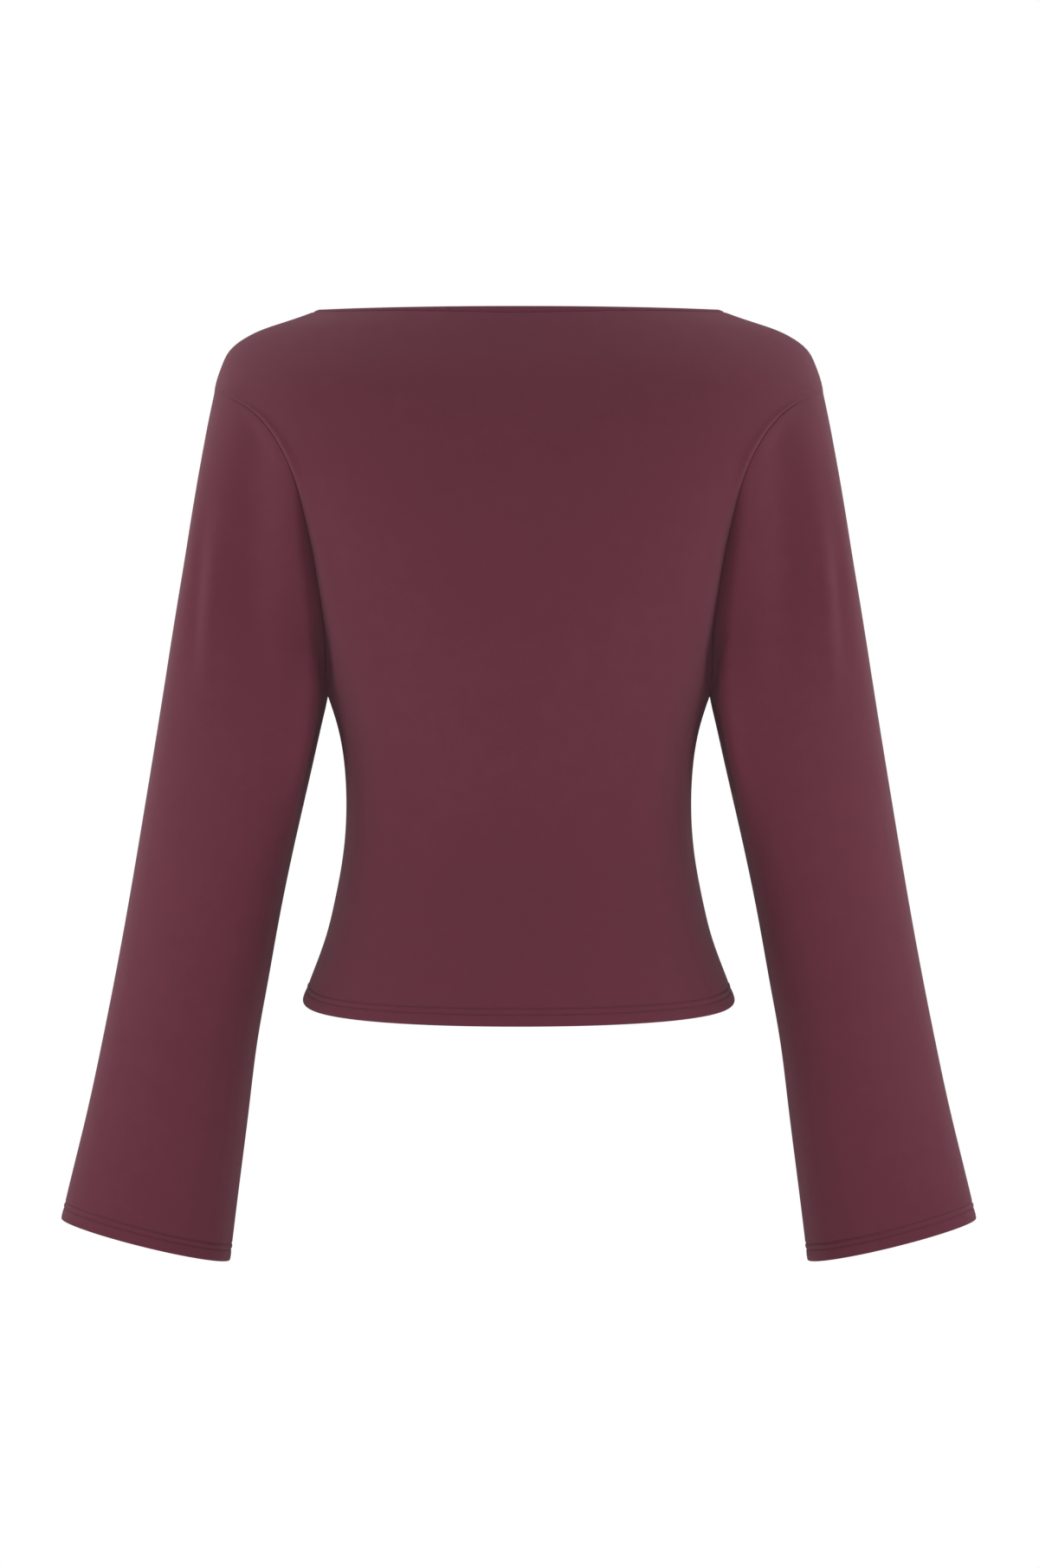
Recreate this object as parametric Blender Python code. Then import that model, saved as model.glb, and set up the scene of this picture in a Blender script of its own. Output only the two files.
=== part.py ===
"""A boat neck top of soft jersey, filled out as it is worn, with nobody in it.

Four cut pieces, each a closed wall of cloth: back, front and two long flared sleeves, 0.3 mm apart at the
seams. Metres, +Z up. The origin lies midway between the two neck corners, at the height of the shoulder
line. The back faces -Y and the front +Y, so the left sleeve lies at -X.

Every piece starts as a sheet of points worked out from the tables below. The body's points lie on a general
figure, given by horizontal sections. A sleeve's points lie on rings that fan round from the armhole to the
cuff. Where two pieces meet, their walls share one direction, so the edges stand parallel across the seam.
"""

import bpy
import numpy as np

MM = 0.001
BACK, FRONT, SLEEVE = "back", "front", "sleeve"
FACING = {BACK: -1.0, FRONT: 1.0}

# Driving dimensions, in millimetres. A drop is measured down from the neck corners.
WALL = 1.6
SEAM_GAP = 0.3
SHOULDER_DROP = 59.0  # the top of the armhole, at the end of the shoulder seam
UNDERARM_DROP = 267.0
WAIST_DROP = 338.0
HEM_DROP = 477.0  # at the side seams
HEM_DIP = {BACK: 14.4, FRONT: 11.0}  # how much lower the hem hangs at the middle
HEM_CURVE = 0.75  # below 1 the hem's curve is flatter in the middle and steeper at the sides
NECK_DIP = {BACK: 3.3, FRONT: 20.0}  # how much lower the neckline lies at the middle
NECK_FADE = 66.0  # down to here the rows below the neckline follow its dip
FRONT_SCOOP = 6.0  # the front armhole is cut in this much further than the back one
CUFF_OUTER_DROP = 630.6
CUFF_INNER_DROP = 660.0
CUFF_FORWARD = 6.0  # the sleeves hang this much forward at the cuff

# The general figure that the body fills: one column here is one horizontal section.
# half_width is the distance from the middle to the side, and back and front are depths at the middle.
FORM = {
    "drop": (0, 4, 9, 14, 19, 28, 38, 59, 80, 105, 130, 160, 200, 232, 267, 290, 314, 338, 362, 386, 410,
             434, 458, 477, 500),
    "half_width": (137.3, 147.6, 162.1, 176.9, 187.6, 199.6, 205.2, 211.0, 208.0, 201.0, 191.5, 178.5,
                   160.5, 146.3, 132.7, 125.3, 121.0, 119.5, 120.1, 122.9, 127.5, 133.4, 142.0, 149.5, 159.0),
    BACK: (52, 54, 57, 60, 63, 68, 73.5, 82.5, 89, 95, 99, 102, 103.5, 102, 98, 94.5, 89.5, 85, 83.5, 85, 89,
           94, 99, 102.5, 106),
    FRONT: (46, 49, 52.5, 56, 59.5, 65, 71, 81.5, 90, 98, 104.5, 110, 114, 113.5, 109.5, 104.5, 98, 93, 91.5,
            92.5, 95, 98, 100.5, 102, 104),
}
# How boxy a section is: depth = middle depth * (1 - (x / half_width) ** flatness) ** roundness.
SECTION = {
    "drop": (0, 20, 45, 75, 140, 240, 500),
    "flatness": (2.0, 2.2, 2.6, 2.7, 2.5, 2.4, 2.3),
    "roundness": (0.72, 0.60, 0.52, 0.50, 0.50, 0.50, 0.50),
}
# The armhole seam: turn runs from 0 at its top to 180 under the arm, in degrees.
ARMHOLE = {
    "turn": (0, 12, 23, 37, 47, 57, 68, 79, 89, 110, 131, 152, 180),
    "half_width": (211, 205.5, 193, 176.5, 167, 158.8, 151.8, 146.9, 143.4, 138.0, 134.5, 133.0, 132.7),
}
# The sleeve's outline, seen from behind: its distance from the middle at each drop.
SLEEVE_OUTER = {
    "drop": (59, 74, 98, 122, 170, 206, 266, 326, 386, 446, 506, 554, 602, 631),
    "half_width": (211, 214, 218.2, 222.1, 229.7, 235.9, 245.9, 256, 266.2, 276.9, 288.7, 299, 310.7, 317.7),
}
SLEEVE_INNER = {
    "drop": (267, 290, 326, 374, 422, 470, 506, 554, 602, 660),
    "half_width": (132.7, 138.2, 146, 156.4, 166.1, 174.7, 181.1, 187.2, 193.3, 200.5),
}
SLEEVE_DEPTH = {"along": (0, 0.15, 0.4, 0.7, 1), "half_depth": (54, 54, 48, 45, 46)}
# How a sleeve's section rounds off: depth = half_depth * |sin(turn)| ** edge. Below 1 an edge is fuller than
# an ellipse's.
SLEEVE_EDGE = {
    "along": (0, 0.1, 0.25, 0.4, 0.6, 0.8, 1),
    "outer": (0.40, 0.40, 0.47, 0.68, 0.97, 1.00, 1.00),
    "inner": (0.28, 0.28, 0.62, 0.85, 1.00, 1.05, 1.05),
}
# The share of the sleeve over which the armhole's shape fades out, at each turn.
ARMHOLE_REACH = {"turn": (0, 60, 105, 130, 180), "reach": (0.18, 0.16, 0.06, 0.03, 0.03)}

# The fold where a sleeve tucks in beside the armhole seam, and the soft trough down from the shoulder point.
TUCK_DEPTH = 14.0
TUCK_TURNS = (40.0, 180.0)  # where it starts and ends, in degrees of turn
TUCK_ALONG = 0.0075  # its deepest line, as a share of the sleeve
TROUGH_DEPTH = 5.0
TROUGH_TURN = 82.0
TROUGH_SPREAD = 15.0
TROUGH_ALONG = 0.10

# How finely each sheet is divided.
RING_STEPS = 32
ALONG_STEPS = (0, 0.0035, 0.0075, 0.013, 0.021, 0.034, 0.055, 0.09, 0.14, 0.2, 0.27, 0.35, 0.44, 0.54, 0.64,
               0.73, 0.82, 0.90, 0.96, 1)
COLUMN_STEPS = 24
SHOULDER_ROWS = (0, 4, 9, 14, 19, 28, 38, 48)
LOWER_ROWS = (272, 279, 290, 303, 320, 338, 360, 382, 404, 426, 448, 464, 477)

LEAST_SLANT = 0.6  # a mitre through two walls is at most 1 / 0.6 times as long as the wall is thick
CREASE_ANGLE = 40.0  # edges sharper than this aren't shaded smooth

ROUGHNESS = 0.85

PLUM = (0.130, 0.034, 0.052, 1.0)


def spline(table, column, at):
    """The value of a table's column at the given places of its first column: a natural cubic spline."""
    place = np.array(table[next(iter(table))], float)
    value = np.array(table[column], float)
    step = np.diff(place)
    matrix = np.eye(len(place))
    right = np.zeros(len(place))
    for i in range(1, len(place) - 1):
        matrix[i, i - 1:i + 2] = step[i - 1], 2 * (step[i - 1] + step[i]), step[i]
        right[i] = 6 * ((value[i + 1] - value[i]) / step[i] - (value[i] - value[i - 1]) / step[i - 1])
    bend = np.linalg.solve(matrix, right)
    i = np.clip(np.searchsorted(place, at) - 1, 0, len(step) - 1)
    a = (place[i + 1] - at) / step[i]
    b = 1 - a
    curved = ((a**3 - a) * bend[i] + (b**3 - b) * bend[i + 1]) * step[i]**2 / 6
    return a * value[i] + b * value[i + 1] + curved


def figure_y(x, drop, side):
    """How far the general figure reaches to the back or the front at a point seen from behind."""
    share = np.clip(np.abs(x) / spline(FORM, "half_width", drop), 0, 1)
    round_off = (1 - share ** spline(SECTION, "flatness", drop)) ** spline(SECTION, "roundness", drop)
    return FACING[side] * spline(FORM, side, drop) * round_off


def armhole_drop(turn):
    """The height of the armhole seam at a turn of 0 to 180 degrees."""
    return SHOULDER_DROP + (UNDERARM_DROP - SHOULDER_DROP) * (1 - np.cos(np.radians(turn))) / 2


def armhole_half_width(turn, side):
    """How far from the middle the armhole seam lies."""
    scoop = FRONT_SCOOP * np.sin(np.radians(turn))**2 if side == FRONT else 0
    return spline(ARMHOLE, "half_width", turn) - scoop


def panel_sheet(side):
    """The back's or front's points, a row for each height and a column from the left side to the right."""
    turns = np.linspace(0, 180, RING_STEPS // 2 + 1)
    drops = np.concatenate([SHOULDER_ROWS, armhole_drop(turns), LOWER_ROWS])
    full = spline(FORM, "half_width", drops)
    reach = full.copy()
    first = len(SHOULDER_ROWS)
    reach[first:first + len(turns)] = armhole_half_width(turns, side)
    most = np.arcsin(np.clip(reach / full, -1, 1))
    across = np.linspace(-1, 1, COLUMN_STEPS + 1)
    x = full[:, None] * np.sin(most[:, None] * across)
    neck = NECK_DIP[side] * np.clip(1 - drops / NECK_FADE, 0, 1)**2
    hem = HEM_DIP[side] * np.clip((drops - WAIST_DROP) / (HEM_DROP - WAIST_DROP), 0, 1)**2
    drop = drops[:, None] + neck[:, None] * (1 - across**2) + hem[:, None] * (1 - across**2)**HEM_CURVE
    return np.stack([x, figure_y(x, drop, side), -drop], axis=-1)


def bump(at, start, end):
    """A smooth hill: 0 at the start and the end, 1 halfway."""
    return np.sin(np.pi * np.clip((at - start) / (end - start), 0, 1))**2


def sleeve_tube(along, turn):
    """The plain flared tube: at each share of the sleeve, an oval between its outer and its inner outline."""
    inward = (1 - np.cos(np.radians(turn))) / 2
    outer_drop = SHOULDER_DROP + (CUFF_OUTER_DROP - SHOULDER_DROP) * along
    inner_drop = UNDERARM_DROP + (CUFF_INNER_DROP - UNDERARM_DROP) * along
    outer = spline(SLEEVE_OUTER, "half_width", outer_drop)
    inner = spline(SLEEVE_INNER, "half_width", inner_drop)
    around = np.sin(np.radians(turn))
    edge = spline(SLEEVE_EDGE, "outer", along) * (1 - inward) + spline(SLEEVE_EDGE, "inner", along) * inward
    depth = spline(SLEEVE_DEPTH, "half_depth", along) * np.sign(around) * np.abs(around)**edge
    return np.stack([
        -(outer + (inner - outer) * inward),
        CUFF_FORWARD * along - depth,
        -(outer_drop + (inner_drop - outer_drop) * inward),
    ], axis=-1)


def armhole_ring(turn):
    """The armhole seam round the left arm: 0 to 180 degrees down the back, and on to 360 up the front."""
    down = np.where(turn <= 180, turn, 360 - turn)
    drop = armhole_drop(down)
    behind, before = (-armhole_half_width(down, side) for side in (BACK, FRONT))
    x = np.where(turn <= 180, behind, before)
    y = np.where(turn <= 180, figure_y(behind, drop, BACK), figure_y(before, drop, FRONT))
    return np.stack([x, y, -drop], axis=-1)


def sleeve_sheet():
    """The left sleeve's points: a row for each ring from the armhole to the cuff, a column for each turn."""
    turns = np.linspace(0, 360, RING_STEPS, endpoint=False)
    along, turn = np.meshgrid(ALONG_STEPS, turns, indexing="ij")
    points = sleeve_tube(along, turn)
    down = np.where(turn <= 180, turn, 360 - turn)
    fade = np.clip(1 - along / spline(ARMHOLE_REACH, "reach", down), 0, 1)**2
    points += fade[..., None] * (armhole_ring(turn) - sleeve_tube(0 * along, turn))
    inward = np.where(turn <= 180, 1.0, -1.0)
    near = along / TUCK_ALONG
    tuck = TUCK_DEPTH * bump(down, *TUCK_TURNS) * near * np.exp(1 - near)
    low = along / TROUGH_ALONG
    trough = TROUGH_DEPTH * np.exp(-((down - TROUGH_TURN) / TROUGH_SPREAD)**2) * low * np.exp(1 - low)
    points[..., 1] += inward * (tuck + trough)
    return points


def unit(vectors):
    """The vectors at length 1."""
    return vectors / np.linalg.norm(vectors, axis=-1, keepdims=True)


def normals(points, round_it):
    """The outward normals of a sheet whose rows run down and whose columns run left to right."""
    down = np.gradient(points, axis=0)
    if round_it:
        right = np.roll(points, -1, axis=1) - np.roll(points, 1, axis=1)
    else:
        right = np.gradient(points, axis=1)
    return unit(np.cross(down, right))


def meeting_points(rows):
    """Which points of which sheets meet at each seam on the left. The armhole's ends join three sheets."""
    first, half = len(SHOULDER_ROWS), RING_STEPS // 2
    arm, ends = np.arange(1, half), np.array([0, half])
    straight = np.concatenate([np.arange(first), np.arange(first + half + 1, rows)])
    return (
        {BACK: (straight, 0), FRONT: (straight, 0)},
        {BACK: (first + arm, 0), SLEEVE: (0, arm)},
        {FRONT: (first + arm, 0), SLEEVE: (0, RING_STEPS - arm)},
        {BACK: (first + ends, 0), FRONT: (first + ends, 0), SLEEVE: (0, ends)},
    )


def share_directions(inward):
    """Gives meeting points one direction through the cloth, as long as a mitre through both walls needs."""
    for seam in meeting_points(len(inward[BACK])):
        middle = unit(sum(inward[piece][index] for piece, index in seam.items()))
        for piece, index in seam.items():
            slant = np.sum(inward[piece][index] * middle, axis=-1, keepdims=True)
            inward[piece][index] = middle / np.clip(slant, LEAST_SLANT, 1)


def pull_back(edge, inner, seam):
    """An edge's points moved half the seam gap over the cloth, square to the seam, to the next points."""
    over = inner - edge
    over -= np.sum(over * unit(seam), axis=-1, keepdims=True) * unit(seam)
    return edge + unit(over) * SEAM_GAP / 2


def open_seams(sheets):
    """Leaves the seam gap between the sheets on the left side."""
    for side in (BACK, FRONT):
        edge = sheets[side][:, 0]
        sheets[side][:, 0] = pull_back(edge, sheets[side][:, 1], np.gradient(edge, axis=0))
    ring = sheets[SLEEVE][0]
    along_seam = np.roll(ring, -1, axis=0) - np.roll(ring, 1, axis=0)
    sheets[SLEEVE][0] = pull_back(ring, sheets[SLEEVE][1], along_seam)


def build_wall(name, outer, inward, round_it, collection):
    """A closed wall of cloth: the sheet, the same sheet moved inward, and the rims that join them."""
    rows, columns = outer.shape[:2]
    last = columns if round_it else columns - 1
    grid = np.arange(rows)[:, None] * columns + np.arange(columns)
    here, beside = grid[:, :last], np.roll(grid, -1, axis=1)[:, :last]
    outside = np.stack([here[:-1], here[1:], beside[1:], beside[:-1]], axis=-1).reshape(-1, 4)
    inside = outside[:, [0, 3, 2, 1]] + grid.size
    edges = [np.stack([beside[0], here[0]], -1), np.stack([here[-1], beside[-1]], -1)]
    if not round_it:
        edges += [np.stack([grid[:-1, 0], grid[1:, 0]], -1), np.stack([grid[1:, -1], grid[:-1, -1]], -1)]
    edges = np.concatenate(edges)
    rims = np.concatenate([edges[:, ::-1], edges + grid.size], axis=1)
    height = outer[..., 2].ravel()
    climbs = height[edges[:, 0]] < height[edges[:, 1]]
    rims[climbs] = np.roll(rims[climbs], -1, axis=1)  # a rim splits like the rim that it faces
    points = np.concatenate([outer.reshape(-1, 3), (outer + WALL * inward).reshape(-1, 3)]) * MM
    mesh = bpy.data.meshes.new(name)
    mesh.from_pydata(points.tolist(), [], np.concatenate([outside, inside, rims]).tolist())
    mesh.shade_smooth()
    mesh.set_sharp_from_angle(angle=np.radians(CREASE_ANGLE))
    mesh.materials.append(jersey(name))
    piece = bpy.data.objects.new(name, mesh)
    split = piece.modifiers.new("even_split", "TRIANGULATE")
    split.quad_method = "FIXED"
    collection.objects.link(piece)


def jersey(name):
    """The piece's own matt knit material."""
    material = bpy.data.materials.new(name + "_jersey")
    material.use_nodes = True
    shader = material.node_tree.nodes["Principled BSDF"]
    shader.inputs["Base Color"].default_value = PLUM
    shader.inputs["Roughness"].default_value = ROUGHNESS
    shader.inputs["Metallic"].default_value = 0.0
    return material


def main():
    """Clears the scene and builds the four pieces."""
    for old in list(bpy.data.objects):
        bpy.data.objects.remove(old)
    collection = bpy.data.collections.new("boat_neck_top")
    bpy.context.scene.collection.children.link(collection)

    sheets = {BACK: panel_sheet(BACK), FRONT: panel_sheet(FRONT), SLEEVE: sleeve_sheet()}
    inward = {
        BACK: -normals(sheets[BACK], False),
        FRONT: normals(sheets[FRONT], False),
        SLEEVE: -normals(sheets[SLEEVE], True),
    }
    share_directions(inward)
    open_seams(sheets)
    mirror = np.array([-1.0, 1.0, 1.0])
    for part in (sheets, inward):
        for side in (BACK, FRONT):
            part[side][:, -1] = part[side][:, 0] * mirror

    left = sheets[SLEEVE], inward[SLEEVE]
    right = [part[:, ::-1] * mirror for part in left]
    build_wall("back", sheets[BACK], inward[BACK], False, collection)
    build_wall("front", sheets[FRONT][:, ::-1], inward[FRONT][:, ::-1], False, collection)
    build_wall("sleeve_left", *left, True, collection)
    build_wall("sleeve_right", *right, True, collection)


if __name__ == "__main__":
    main()
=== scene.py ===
"""The looks of a boat neck top in dark plum jersey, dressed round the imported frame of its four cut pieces.

The back, the front and the two flared sleeves are thin sheets of cloth on the forms of their solids. Each is
a function of two parameters on a grid: rows run down the piece, and columns run to the right as seen from
outside. The neck, hem and cuffs are turned in and stitched down. The sewn edges roll over and stand inside as
seam allowances.

Lengths are millimetres unless a name ends in _m. A drop is measured down from the neck corners.
"""

import logging
import math
from dataclasses import dataclass, field, replace
from enum import Enum

import bpy
import numpy as np
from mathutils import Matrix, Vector


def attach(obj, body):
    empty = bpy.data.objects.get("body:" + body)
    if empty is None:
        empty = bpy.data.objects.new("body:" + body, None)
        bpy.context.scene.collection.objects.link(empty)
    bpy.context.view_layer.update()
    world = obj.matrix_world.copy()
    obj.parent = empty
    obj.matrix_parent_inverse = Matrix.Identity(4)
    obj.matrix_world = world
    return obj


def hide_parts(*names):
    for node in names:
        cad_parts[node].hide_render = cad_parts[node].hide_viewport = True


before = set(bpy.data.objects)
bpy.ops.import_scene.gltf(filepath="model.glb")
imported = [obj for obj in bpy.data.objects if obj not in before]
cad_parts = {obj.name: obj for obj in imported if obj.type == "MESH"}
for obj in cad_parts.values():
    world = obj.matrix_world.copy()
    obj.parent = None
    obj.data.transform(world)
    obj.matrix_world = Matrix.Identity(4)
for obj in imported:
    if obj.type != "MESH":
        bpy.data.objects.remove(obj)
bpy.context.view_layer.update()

Array = np.ndarray
Triple = tuple[float, float, float]
Material = bpy.types.Material
Socket = bpy.types.NodeSocket
Tree = bpy.types.NodeTree

LOG = logging.getLogger("boat_neck_top")
MM = 0.001
ROOT = "root"
CLOTH_UV = "cloth"
MIRROR = np.array([-1.0, 1.0, 1.0])
FAR = 1000.0  # a distance past the reach of every edge


class Side(Enum):
    """The two halves of the body; the value is the direction that the half faces along Y."""

    BACK = -1.0
    FRONT = 1.0


# ---- arithmetic


def unit(vectors: Array) -> Array:
    """Returns the vectors at length 1."""
    return vectors / np.linalg.norm(vectors, axis=-1, keepdims=True)


def smooth_step(at: Array, start: float, end: float) -> Array:
    """Returns 0 at start and 1 at end, with a smooth cubic rise between."""
    share = np.clip((at - start) / (end - start), 0, 1)
    return share * share * (3 - 2 * share)


def plateau(at: Array, start: float, full: float, fading: float, end: float) -> Array:
    """Returns a smooth rise from 0 at start to 1 at full, and a fall from fading back to 0 at end."""
    return smooth_step(at, start, full) * (1 - smooth_step(at, fading, end))


def hill(at: Array, start: float, end: float) -> Array:
    """Returns a smooth hill, the square of a half sine: 0 at start and end, 1 halfway."""
    return np.sin(np.pi * np.clip((at - start) / (end - start), 0, 1)) ** 2


def bell(at: Array, middle: float, width: float) -> Array:
    """Returns a bell curve, exp(-((at - middle) / width) ** 2)."""
    return np.exp(-(((at - middle) / width) ** 2))


def quarter(radius: float) -> Array:
    """Returns distances from an edge that cut a quarter circle into four equal angles."""
    return radius * (1 - np.cos(np.radians(np.linspace(0, 90, 5))))


def rounding(distance: Array, radius: float) -> Array:
    """Returns how far a rolled edge lies below the flat cloth: a quarter circle down to the radius."""
    share = np.clip(1 - distance / radius, 0, 1)
    return -radius * (1 - np.sqrt(1 - share**2))


@dataclass(frozen=True)
class Curve:
    """A natural cubic spline through a short table.

    Attributes:
        at: Where the values are given.
        value: The values there.
    """

    at: tuple[float, ...]
    value: tuple[float, ...]

    def __call__(self, where: Array) -> Array:
        """Reads the spline: a cubic in each span, with its bends joined at the table's places.

        Args:
            where: The places to read it at.

        Returns:
            The spline's values there.
        """
        place, value = np.array(self.at, float), np.array(self.value, float)
        step = np.diff(place)
        slope = np.diff(value) / step
        inner = np.arange(1, len(place) - 1)
        matrix = np.eye(len(place))
        matrix[inner, inner - 1] = step[:-1]
        matrix[inner, inner] = 2 * (step[:-1] + step[1:])
        matrix[inner, inner + 1] = step[1:]
        right = np.zeros(len(place))
        right[inner] = 6 * np.diff(slope)
        bend = np.linalg.solve(matrix, right)
        i = np.clip(np.searchsorted(place, where) - 1, 0, len(step) - 1)
        low = (place[i + 1] - where) / step[i]
        high = 1 - low
        curved = ((low**3 - low) * bend[i] + (high**3 - high) * bend[i + 1]) * step[i] ** 2 / 6
        return low * value[i] + high * value[i + 1] + curved


def lengths(lines: Array) -> Array:
    """Returns how far along its own line each sample lies, for lines x samples x channels."""
    steps = np.linalg.norm(np.diff(lines[..., :3], axis=1), axis=-1)
    return np.concatenate([np.zeros((len(lines), 1)), np.cumsum(steps, axis=1)], axis=1)


def by_length(lines: Array, stations: Array) -> Array:
    """Samples each line of a grid at new places along its own length.

    The lengths of each line are shifted past those of the line before, so one interpolation serves them all.

    Args:
        lines: Lines x samples x channels, of which the first three are a point.
        stations: Lines x places, each a distance along its line.

    Returns:
        Lines x places x channels.
    """
    length = lengths(lines)
    shift = np.arange(len(lines))[:, None] * (2 * length.max() + 1)
    known, wanted = (length + shift).ravel(), (np.clip(stations, 0, length[:, -1:]) + shift).ravel()
    channels = [np.interp(wanted, known, lines[..., k].ravel()) for k in range(lines.shape[-1])]
    return np.stack(channels, axis=-1).reshape(*stations.shape, -1)


def spread(lines: Array, first: Array, middle: int, last: Array) -> Array:
    """Samples lines at given distances from both ends, with even steps between.

    Args:
        lines: Lines x samples x channels.
        first: Distances from each line's start, rising.
        middle: How many places lie between the two given groups.
        last: Distances from each line's end, rising.

    Returns:
        Lines x places x channels.
    """
    length = lengths(lines)[:, -1:]
    share = np.linspace(0, 1, middle + 2)[1:-1]
    low, high = first[-1], length - last[-1]
    stations = np.concatenate([first + 0 * length, low + (high - low) * share, length - last[::-1]], axis=1)
    return by_length(lines, stations)


def from_ends(count: int, first: Array, last: Array) -> tuple[Array, Array]:
    """Spreads distances that are given near both ends over all the rows or columns.

    Args:
        count: How many rows or columns there are.
        first: The first ones' distances from the first end, rising.
        last: The last ones' distances from the last end, rising from that end.

    Returns:
        Each one's distance from the first end, and from the last one: FAR where none is given.
    """
    start, end = np.full((2, count), FAR)
    start[: len(first)] = first
    end[count - len(last) :] = last[::-1]
    return start, end


# ---- the garment


@dataclass(frozen=True)
class Figure:
    """The general figure that the body fills, as horizontal sections: a drop, a half width and two depths."""

    drops: tuple[float, ...] = (
        0, 4, 9, 14, 19, 28, 38, 59, 80, 105, 130, 160, 200, 232, 267, 290, 314, 338, 362, 386, 410, 434, 458,
        477, 500,
    )
    half_widths: tuple[float, ...] = (
        137.3, 147.6, 162.1, 176.9, 187.6, 199.6, 205.2, 211.0, 208.0, 201.0, 191.5, 178.5, 160.5, 146.3,
        132.7, 125.3, 121.0, 119.5, 120.1, 122.9, 127.5, 133.4, 142.0, 149.5, 159.0,
    )
    back_depths: tuple[float, ...] = (
        52, 54, 57, 60, 63, 68, 73.5, 82.5, 89, 95, 99, 102, 103.5, 102, 98, 94.5, 89.5, 85, 83.5, 85, 89, 94,
        99, 102.5, 106,
    )
    front_depths: tuple[float, ...] = (
        46, 49, 52.5, 56, 59.5, 65, 71, 81.5, 90, 98, 104.5, 110, 114, 113.5, 109.5, 104.5, 98, 93, 91.5,
        92.5, 95, 98, 100.5, 102, 104,
    )
    flatness: Curve = Curve((0, 20, 45, 75, 140, 240, 500), (2.0, 2.2, 2.6, 2.7, 2.5, 2.4, 2.3))
    roundness: Curve = Curve((0, 20, 45, 75, 140, 240, 500), (0.72, 0.60, 0.52, 0.50, 0.50, 0.50, 0.50))

    def half_width(self, drop: Array) -> Array:
        """Returns the distance from the middle to the side of the figure."""
        return Curve(self.drops, self.half_widths)(drop)

    def y(self, x: Array, drop: Array, side: Side) -> Array:
        """Works out the figure's surface: depth * (1 - (x / half width) ** flatness) ** roundness.

        Args:
            x: Places across, from the middle.
            drop: Their drops.
            side: The half of the body.

        Returns:
            The surface's y at those places.
        """
        depths = self.back_depths if side is Side.BACK else self.front_depths
        share = np.clip(np.abs(x) / self.half_width(drop), 0, 1)
        fall = (1 - share ** self.flatness(drop)) ** self.roundness(drop)
        return side.value * Curve(self.drops, depths)(drop) * fall


@dataclass(frozen=True)
class Armhole:
    """The armhole seam, which lies within 3 mm of the one between the solids.

    A turn runs from 0 at its top down the back to 180 under the arm. Turns below 0 run down the front. The
    reach is the seam's distance from the middle of the back, by the turn.
    """

    top: float = 59.0
    bottom: float = 267.0
    front_scoop: float = 6.0
    reach: Curve = Curve(
        (0, 12, 23, 37, 47, 57, 68, 79, 89, 110, 131, 152, 180),
        (211, 205.5, 193, 176.5, 167, 158.8, 152.2, 148.7, 146.2, 140.4, 135.0, 132.2, 132.7),
    )
    seen_turns: tuple[float, float] = (14, 34)  # over these the seam's groove comes to show
    lip_height: float = 1.5
    lip_turns: tuple[float, ...] = (12, 28, 50, 80)  # it rises over the first two and fades over the last two
    sunk_depth: float = 12.0
    sunk_turns: tuple[float, ...] = (60, 100, 130, 174)

    def drop(self, turn: Array) -> Array:
        """Returns the height of the seam: a cosine from top to bottom."""
        return self.top + (self.bottom - self.top) * (1 - np.cos(np.radians(turn))) / 2

    def half_width(self, turn: Array, side: Side) -> Array:
        """Returns the seam's distance from the middle; the front is scooped in by a squared sine."""
        scoop = self.front_scoop * np.sin(np.radians(turn)) ** 2 if side is Side.FRONT else 0.0
        return self.reach(turn) - scoop

    def seen(self, turn: Array) -> Array:
        """Returns how much of the seam's groove shows: pressed flat at the top, full down the sides."""
        return smooth_step(turn, *self.seen_turns)

    def lip(self, turn: Array) -> Array:
        """Returns how far the panel's cloth stands up beside the seam: most on the shoulder blade."""
        return self.lip_height * plateau(turn, *self.lip_turns)

    def sunk(self, turn: Array) -> Array:
        """Returns how deep the seam lies in its own hollow: most down the sides, nothing under the arm."""
        return self.sunk_depth * plateau(turn, *self.sunk_turns)

    def ring(self, turn: Array, figure: Figure) -> Array:
        """Works out the left armhole.

        Args:
            turn: Turns, below 0 down the front.
            figure: The figure on which the seam lies.

        Returns:
            A point for each turn.
        """
        down = np.abs(turn)
        drop = self.drop(down)
        behind, before = (-self.half_width(down, side) for side in (Side.BACK, Side.FRONT))
        x = np.where(turn >= 0, behind, before)
        y = np.where(turn >= 0, figure.y(behind, drop, Side.BACK), figure.y(before, drop, Side.FRONT))
        return np.stack([x, y, -drop], axis=-1)


@dataclass(frozen=True)
class Fold:
    """A soft trough or ridge, placed in the cloth's own measures: across from the middle, and down.

    Attributes:
        start: Where its line starts.
        end: Where it ends.
        height: How far it stands out, below 0 for a trough.
        width: The half width of its bell-shaped section.
    """

    start: tuple[float, float]
    end: tuple[float, float]
    height: float
    width: float

    def __call__(self, across: Array, down: Array) -> Array:
        """Works out the fold's height: a bell across its line and a squared half sine along it.

        Args:
            across: The cloth's measure across.
            down: The cloth's measure down.

        Returns:
            The height there, 0 past the ends of the line.
        """
        (x0, y0), (x1, y1) = self.start, self.end
        length = math.hypot(x1 - x0, y1 - y0)
        along = ((across - x0) * (x1 - x0) + (down - y0) * (y1 - y0)) / length**2
        beside = ((across - x0) * (y1 - y0) - (down - y0) * (x1 - x0)) / length
        return self.height * bell(beside, 0, self.width) * hill(along, 0, 1)

    def mirrored(self) -> "Fold":
        """Returns the fold's mirror image about the middle."""
        (x0, y0), (x1, y1) = self.start, self.end
        return replace(self, start=(-x0, y0), end=(-x1, y1))


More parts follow.
